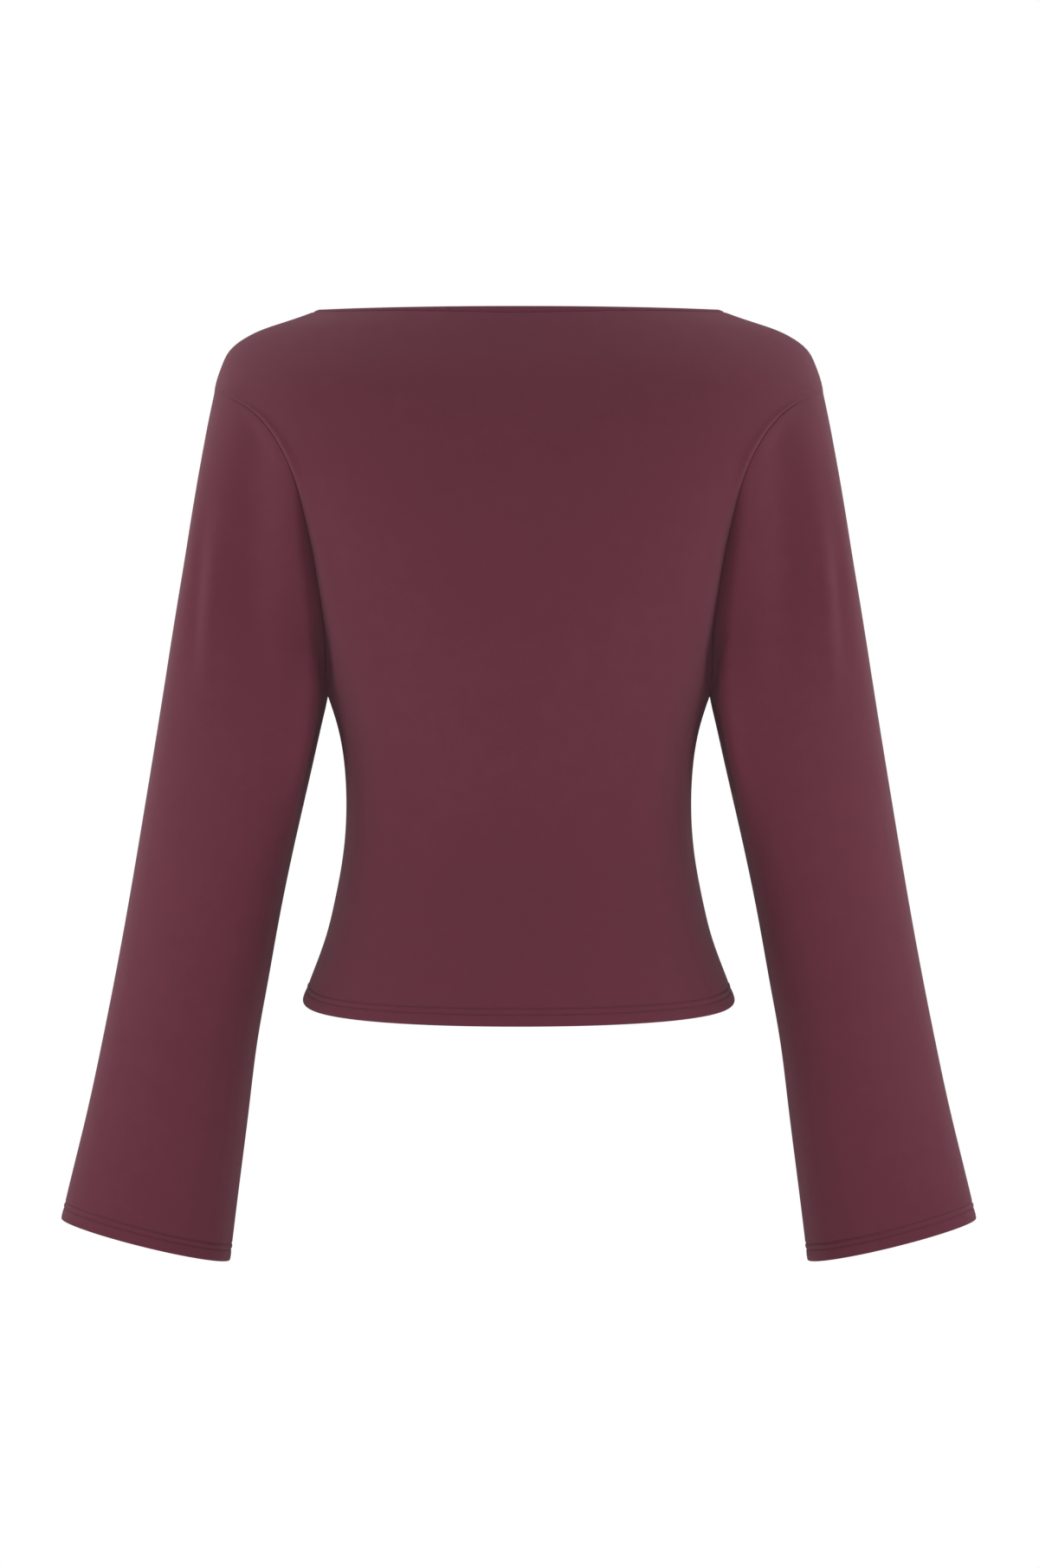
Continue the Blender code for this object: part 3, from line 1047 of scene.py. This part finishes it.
@dataclass(frozen=True)
class Finish:
    """A finish in an uneven tone, between a deep and a lit colour, the darker and the lighter end of its own
    random tone; in the jersey the painted loop light also spans them.
    """

    name: str
    deep: Triple
    lit: Triple
    roughness: float
    roughness_spread: float
    specular: float
    shares: Triple  # of clouds, patches and single fibres in the tone

    def start(self, uneven: Tree) -> tuple[Material, Graph, bpy.types.Node, Socket]:
        """Makes a material whose colour is still to be linked.

        Args:
            uneven: The group for the uneven tone.

        Returns:
            The material, its graph, its shader and its tone.
        """
        made, graph, shader = new_material(self.name)
        place = graph.add("TexCoord", {}).outputs["Object"]
        inputs = dict(zip(("Place", "Clouds", "Patches", "Fibres"), (place, *self.shares)))
        tone = graph.add("Group", inputs, node_tree=uneven).outputs["Tone"]
        least = self.roughness - self.roughness_spread / 2
        rough = graph.math("MULTIPLY_ADD", tone, self.roughness_spread, least)
        graph.tree.links.new(rough, shader.inputs["Roughness"])
        shader.inputs["Specular IOR Level"].default_value = self.specular
        return made, graph, shader, tone

    def build(self, uneven: Tree) -> Material:
        """Makes the plain material, its colour by its tone alone.

        Args:
            uneven: The group for the uneven tone.

        Returns:
            The material.
        """
        made, graph, shader, tone = self.start(uneven)
        graph.tree.links.new(mixed(graph, tone, self.deep, self.lit), shader.inputs["Base Color"])
        return made


@dataclass(frozen=True)
class Jersey(Finish):
    """The finish of a single jersey: a fine knit face, with a faint nap, a painted highlight on the loops'
    crowns and painted shade in the grooves between them.
    """

    column_m: float = 0.00078
    row_m: float = 0.00062
    loop_height_m: float = 0.00010
    painted_crown_highlight: float = 0.3  # painted highlight: how much lighter the loops' crowns are painted
    painted_groove_shade: float = 0.1  # painted shade: how much darker the whole face is painted, so that the grooves between the loops stay darker than the crowns
    sheen: float = 0.10
    sheen_roughness: float = 0.42
    sheen_tint: Triple = (1.0, 0.72, 0.80)

    def knitted(self, knit: Tree, uneven: Tree) -> Material:
        """Makes the material.

        Args:
            knit: The group for the knit's face.
            uneven: The group for the uneven tone.

        Returns:
            The material.
        """
        made, graph, shader, tone = self.start(uneven)
        cloth = graph.add("UVMap", {}, uv_map=CLOTH_UV).outputs["UV"]
        sizes = {"Place": cloth, "Column": self.column_m, "Row": self.row_m}
        loops = graph.add("Group", sizes, node_tree=knit).outputs["Height"]
        # Painted light on the knit: the colour follows the loops' height, with crowns painted lighter and
        # grooves painted darker, on top of the cloth's own uneven tone.
        tone_and_painted_loop_light = graph.math("MULTIPLY_ADD", loops, self.painted_crown_highlight, graph.math("SUBTRACT", tone, self.painted_groove_shade))
        bump = graph.add("Bump", {"Height": loops, "Distance": self.loop_height_m})
        graph.tree.links.new(mixed(graph, tone_and_painted_loop_light, self.deep, self.lit), shader.inputs["Base Color"])
        graph.tree.links.new(bump.outputs["Normal"], shader.inputs["Normal"])
        shader.inputs["Sheen Weight"].default_value = self.sheen
        shader.inputs["Sheen Roughness"].default_value = self.sheen_roughness
        shader.inputs["Sheen Tint"].default_value = (*self.sheen_tint, 1.0)
        return made


SOFT_JERSEY = Jersey(
    "plum_jersey",
    deep=(0.110, 0.0235, 0.0390),
    lit=(0.150, 0.0345, 0.0550),
    roughness=0.82,
    roughness_spread=0.12,
    specular=0.20,
    shares=(0.25, 0.5, 0.7),
)
SPUN_THREAD = Finish(
    "plum_thread",
    deep=(0.070, 0.016, 0.028),
    lit=(0.110, 0.027, 0.043),
    roughness=0.6,
    roughness_spread=0.15,
    specular=0.35,
    shares=(0.0, 0.4, 1.4),
)


# ---- the studio


@dataclass(frozen=True)
class Lamp:
    """A soft rectangular light, in metres and watts.

    Attributes:
        name: Its name.
        azimuth: Its direction from the top in degrees, from 0 behind the camera round to the camera's right.
        height: Its height above the horizon, in degrees.
        power: Its power.
    """

    name: str
    azimuth: float
    height: float
    power: float
    size: tuple[float, float] = (1.2, 1.6)
    distance: float = 3.0
    aim: Triple = (0.0, 0.0, -0.33)

    def build(self) -> None:
        """Makes the light, turned to its aim."""
        round_, up = math.radians(self.azimuth), math.radians(self.height)
        way = Vector((math.sin(round_) * math.cos(up), -math.cos(round_) * math.cos(up), math.sin(up)))
        light = bpy.data.lights.new(self.name, "AREA")
        light.shape = "RECTANGLE"
        light.size, light.size_y = self.size
        light.energy = self.power
        lamp = new_object(self.name, light)
        lamp.location = Vector(self.aim) + way * self.distance
        lamp.visible_camera = False
        lamp.rotation_euler = (-way).to_track_quat("-Z", "Y").to_euler()


def pair(name: str, azimuth: float, height: float, power: float, **more: object) -> tuple[Lamp, Lamp]:
    """Returns a lamp on the left and its mirror image on the right."""
    return (
        Lamp(f"{name}_left", -azimuth, height, power, **more),
        Lamp(f"{name}_right", azimuth, height, power, **more),
    )


@dataclass(frozen=True)
class Studio:
    """A white room with soft lights, a pale floor below the picture, and a camera straight behind the top."""

    camera_place: Triple = (0.0005, -3.0, -0.3291)
    frame_height_m: float = 1.0866  # what the picture takes in at the top's own distance
    ambient: float = 0.15
    sensor_mm: float = 36.0
    floor_drop_m: float = 1.2
    floor_radius_m: float = 1.5
    floor_grid: tuple[int, int] = (12, 96)  # its rings, and the points on each
    floor_hub: float = 0.02  # the innermost ring's share of the radius
    floor_tones: tuple[Triple, Triple] = ((0.7872, 0.7776, 0.768), (0.82, 0.81, 0.80))
    floor_patches: float = 5.0
    floor_roughness: float = 0.7
    lamps: tuple[Lamp, ...] = (
        Lamp("front", 0, 0, 21.0),
        Lamp("low_front", 0, -35, 64.0),
        Lamp("overhead", 180, 80, 28.0),
        *pair("front", 55, 5, 5.3),
        *pair("elbow", 60, 0, 1.0, size=(0.3, 0.4), distance=0.75, aim=(0.0, 0.0, -0.43)),
        *pair("rim", 95, 35, 6.2, size=(0.6, 1.2), distance=1.1),
        *pair("back", 145, 10, 19.0),
    )

    def build(self) -> None:
        """Makes the camera, the lights, the white surroundings and the floor."""
        scene = bpy.context.scene
        camera = bpy.data.cameras.new("camera")
        camera.sensor_width = self.sensor_mm
        camera.lens = -self.camera_place[1] / self.frame_height_m * self.sensor_mm
        stand = new_object("camera", camera)
        stand.location = self.camera_place
        stand.rotation_euler = (math.pi / 2, 0.0, 0.0)
        scene.camera = stand
        for lamp in self.lamps:
            lamp.build()
        scene.view_settings.view_transform = "Standard"
        self.build_world(scene)
        self.build_floor()

    def build_world(self, scene: bpy.types.Scene) -> None:
        """Makes surroundings that the camera sees as pure white and that light the top more weakly.

        Args:
            scene: The scene that they surround.
        """
        world = bpy.data.worlds.new("white_room")
        world.use_nodes = True
        graph = Graph(world.node_tree)
        seen = graph.add("LightPath", {}).outputs["Is Camera Ray"]
        strength = graph.math("MULTIPLY_ADD", seen, 1.0 - self.ambient, self.ambient)
        backdrop = world.node_tree.nodes["Background"]
        backdrop.inputs["Color"].default_value = (1.0, 1.0, 1.0, 1.0)
        world.node_tree.links.new(strength, backdrop.inputs["Strength"])
        scene.world = world

    def build_floor(self) -> None:
        """Makes a round floor: rings of quads about a small middle face, in a slightly uneven pale tone."""
        made, graph, shader = new_material("pale_floor")
        place = graph.add("TexCoord", {}).outputs["Object"]
        noise = graph.add("TexNoise", {"Vector": place, "Scale": self.floor_patches}).outputs["Fac"]
        graph.tree.links.new(mixed(graph, noise, *self.floor_tones), shader.inputs["Base Color"])
        shader.inputs["Roughness"].default_value = self.floor_roughness
        rings, around = self.floor_grid
        angle = np.radians(np.linspace(0, 360, around, endpoint=False))
        radius = np.linspace(self.floor_hub, 1, rings)[:, None] * self.floor_radius_m / MM
        height = np.full(self.floor_grid, -self.floor_drop_m / MM)
        points = np.stack([radius * np.cos(angle), radius * np.sin(angle), height], axis=-1)
        number = np.arange(rings * around).reshape(rings, around)
        closed = np.concatenate([number, number[:, :1]], axis=1)
        new_piece("floor", points, [*quads(closed).tolist(), number[0].tolist()], made)


# ---- the whole top


@dataclass(frozen=True)
class Workroom:
    """What makes the cut pieces, with their finishes."""

    jersey: Material
    thread: Material
    stitching: Stitching = Stitching()

    def make(self, node: str, sheet: Sheet, mirrored: bool = False) -> None:
        """Makes a piece's cloth and its stitching, hangs them under the root body and hides the frame's solid
        that they replace.

        Args:
            node: The frame's solid that the piece replaces.
            sheet: The piece's sheet.
            mirrored: Whether the piece is the sheet's mirror image.
        """
        flip = np.array([*MIRROR, *MIRROR]) if mirrored else np.ones(6)
        points = sheet.finished() * flip[:3]
        cloth = self.cloth(f"{node}_cloth", points[:, ::-1] if mirrored else points, sheet.grain * flip[:3])
        paths = [path * flip for path in sheet.stitch_paths()]
        stitches = self.stitching.build(f"{node}_stitching", paths, self.thread)
        for piece, slot in ((cloth, "jersey"), (stitches, "thread")):
            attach(piece, ROOT)
        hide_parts(node)
        width, length, area = (round(measure, 4) for measure in sheet.flat())
        LOG.info("%s: %.0f by %.0f mm flat, %.4f square metres", cloth.name, width / MM, length / MM, area)
        LOG.info("%s: %d faces", stitches.name, len(stitches.data.polygons))

    def cloth(self, name: str, points: Array, grain: Array) -> bpy.types.Object:
        """Makes a sheet of cloth from a grid of points, with the cloth's own measures as its UV map.

        Args:
            name: The piece's name.
            points: Rows x columns x 3, in millimetres, columns running to the right as seen from outside.
            grain: The direction in which the knit's columns run down.

        Returns:
            The new object, with its thickness.
        """
        faces = quads(np.arange(points[..., 0].size).reshape(points.shape[:2]))
        piece = new_piece(name, points, faces.tolist(), self.jersey)
        measures = (cloth_measures(points, grain) * (MM, -MM)).reshape(-1, 2)
        layer = piece.data.uv_layers.new(name=CLOTH_UV)
        layer.data.foreach_set("uv", measures[faces.ravel()].ravel().astype(np.float32))
        wall = piece.modifiers.new("wall", "SOLIDIFY")
        wall.thickness = MAKING.cloth * MM
        wall.offset = -1.0
        return piece


def main() -> None:
    """Builds the top's four pieces and its studio."""
    logging.basicConfig(level=logging.INFO, format="%(name)s: %(message)s")
    knit, uneven = knit_loops(), uneven_tone()
    room = Workroom(SOFT_JERSEY.knitted(knit, uneven), SPUN_THREAD.build(uneven))
    beside_seams = both_ways(Fold((148, 130), (128, 250), -1.5, 12))
    upper_arm = (
        Fold((45, 150), (54, 320), -1.8, 6),
        Fold((57, 150), (66, 330), 2.0, 7),
        Fold((60, 55), (108, 330), -5.5, 15),  # the broad trough down the back of the arm
        Fold((141, 190), (148, 400), 4.0, 8),  # the fullness beside the armhole and below it
    )
    back = Panel(Side.BACK, neck_dip=3.3, hem_dip=14.4, folds=beside_seams)
    front = Panel(Side.FRONT, neck_dip=20.0, hem_dip=11.0, folds=beside_seams)
    sleeve = Sleeve(folds=both_ways(*upper_arm))
    join_seams(back, front, sleeve)
    room.make("back", back.sheet)
    room.make("front", front.sheet)
    room.make("sleeve_left", sleeve.sheet)
    room.make("sleeve_right", sleeve.sheet, mirrored=True)
    Studio().build()


if __name__ == "__main__":
    main()
